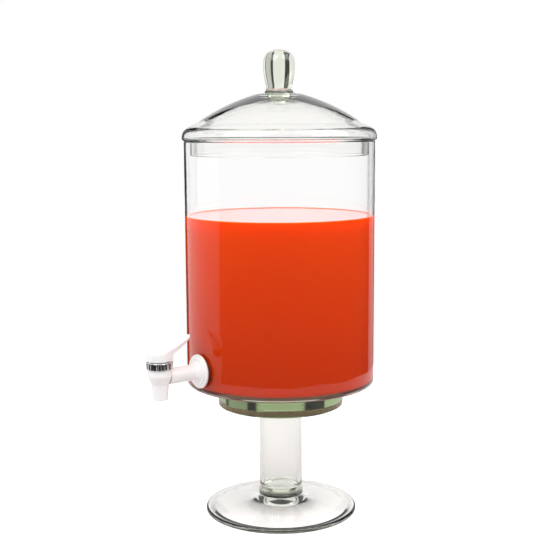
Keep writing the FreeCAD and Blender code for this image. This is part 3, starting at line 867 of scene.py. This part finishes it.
def add_world(scene, stage):
    """A tall backdrop, a strip on the right, panels left and overhead, and dim surroundings."""
    world = bpy.data.worlds.new("studio")
    world.use_nodes = True
    scene.world = world
    tree = world.node_tree
    back = tree.nodes["Background"]
    place = node(tree, "ShaderNodeTexCoord")
    path = node(tree, "ShaderNodeLightPath")
    flat = node(tree, "ShaderNodeVectorMath", {1: (1.0, 1.0, 0.0)}, operation="MULTIPLY")
    unit = node(tree, "ShaderNodeVectorMath", operation="NORMALIZE")
    tree.links.new(place.outputs["Generated"], flat.inputs[0])
    tree.links.new(flat.outputs["Vector"], unit.inputs[0])
    way, level_way = place.outputs["Generated"], unit.outputs["Vector"]
    patches = (
        (level_way, bearing(stage, 180.0), stage.backdrop, 1.0),
        (level_way, bearing(stage, stage.strip_middle), stage.strip_width, stage.strip),
        (way, bearing(stage, stage.panel_middle), stage.panel_width, 1.0),
        (way, Vector((0.0, 0.0, 1.0)), stage.ceiling_width, 1.0),
    )
    levels = [path.outputs["Is Camera Ray"]]
    levels += [add_patch(tree, *patch) for patch in patches]
    # what is seen through the glass is white, apart from the dark flags
    beside = add_patch(tree, level_way, bearing(stage, 0.0), 180.0 - stage.dark_width, 1.0)
    through = node(tree, "ShaderNodeMath", operation="MULTIPLY")
    tree.links.new(beside, through.inputs[0])
    tree.links.new(path.outputs["Is Transmission Ray"], through.inputs[1])
    levels.append(through.outputs["Value"])
    least = node(tree, "ShaderNodeMath", {1: stage.dark_side}, operation="MAXIMUM")
    tree.links.new(brightest(tree, levels), least.inputs[0])
    tree.links.new(least.outputs["Value"], back.inputs["Strength"])
    back.inputs["Color"].default_value = WHITE


def add_lamps(stage):
    """Panels high in front, left and right, aimed at the jar."""
    target = Vector((0.0, 0.0, LAMP_AIM))
    for name, degrees, share in LAMPS:
        lamp = bpy.data.lights.new(name, "AREA")
        lamp.shape = "SQUARE"
        lamp.size = LAMP_SIZE
        lamp.energy = stage.lamp * share
        item = bpy.data.objects.new(name, lamp)
        bpy.context.scene.collection.objects.link(item)
        item.location = bearing(stage, degrees) + Vector((0.0, 0.0, LAMP_HEIGHT))
        item.rotation_euler = (target - item.location).to_track_quat("-Z", "Y").to_euler()


def add_camera(scene, stage):
    """The camera, turned towards the jar."""
    data = bpy.data.cameras.new("camera")
    data.lens = stage.lens
    data.sensor_width = SENSOR_WIDTH
    camera = bpy.data.objects.new("camera", data)
    scene.collection.objects.link(camera)
    place = bearing(stage, 0.0) * stage.distance
    place.z = stage.height
    tilt = Matrix.Rotation(math.pi / 2 - stage.pitch, 4, "X")
    turn = Matrix.Rotation(stage.azimuth, 4, "Z") @ tilt
    camera.matrix_world = Matrix.Translation(place) @ turn @ Matrix.Rotation(stage.roll, 4, "Z")
    scene.camera = camera


class DISPENSER_PT_panel(Panel):
    """Sizes, materials and light of the dispenser jar"""

    bl_label = "Dispenser jar"
    bl_idname = "DISPENSER_PT_panel"
    bl_space_type = "VIEW_3D"
    bl_region_type = "UI"
    bl_category = "Dispenser"

    def draw(self, context):
        layout = self.layout
        for name, (title, settings) in SETTINGS.items():
            box = layout.box()
            box.label(text=title)
            for key in settings.__annotations__:
                box.prop(getattr(context.scene, name), key)
        for operator in OPERATORS:
            layout.operator(operator.bl_idname)


SETTINGS = {
    "dispenser_glass": ("Glass", GlassSettings),
    "dispenser_liquid": ("Liquid", LiquidSettings),
    "dispenser_tap": ("Tap", TapSettings),
    "dispenser_stage": ("Stage", StageSettings),
}
OPERATORS = (
    DISPENSER_OT_pedestal,
    DISPENSER_OT_jar,
    DISPENSER_OT_liquid,
    DISPENSER_OT_lid,
    DISPENSER_OT_tap,
    DISPENSER_OT_fittings,
    DISPENSER_OT_stage,
)


def register():
    for name, (_, settings) in SETTINGS.items():
        bpy.utils.register_class(settings)
        setattr(bpy.types.Scene, name, PointerProperty(type=settings))
    for item in (*OPERATORS, DISPENSER_PT_panel):
        bpy.utils.register_class(item)


def unregister():
    for item in (DISPENSER_PT_panel, *reversed(OPERATORS)):
        bpy.utils.unregister_class(item)
    for name, (_, settings) in reversed(SETTINGS.items()):
        delattr(bpy.types.Scene, name)
        bpy.utils.unregister_class(settings)


def main():
    """Builds the pieces and the stage in order."""
    register()
    bpy.ops.dispenser.pedestal()
    bpy.ops.dispenser.jar()
    bpy.ops.dispenser.liquid()
    bpy.ops.dispenser.lid()
    bpy.ops.dispenser.tap()
    bpy.ops.dispenser.fittings()
    bpy.ops.dispenser.stage()


if __name__ == "__main__":
    main()
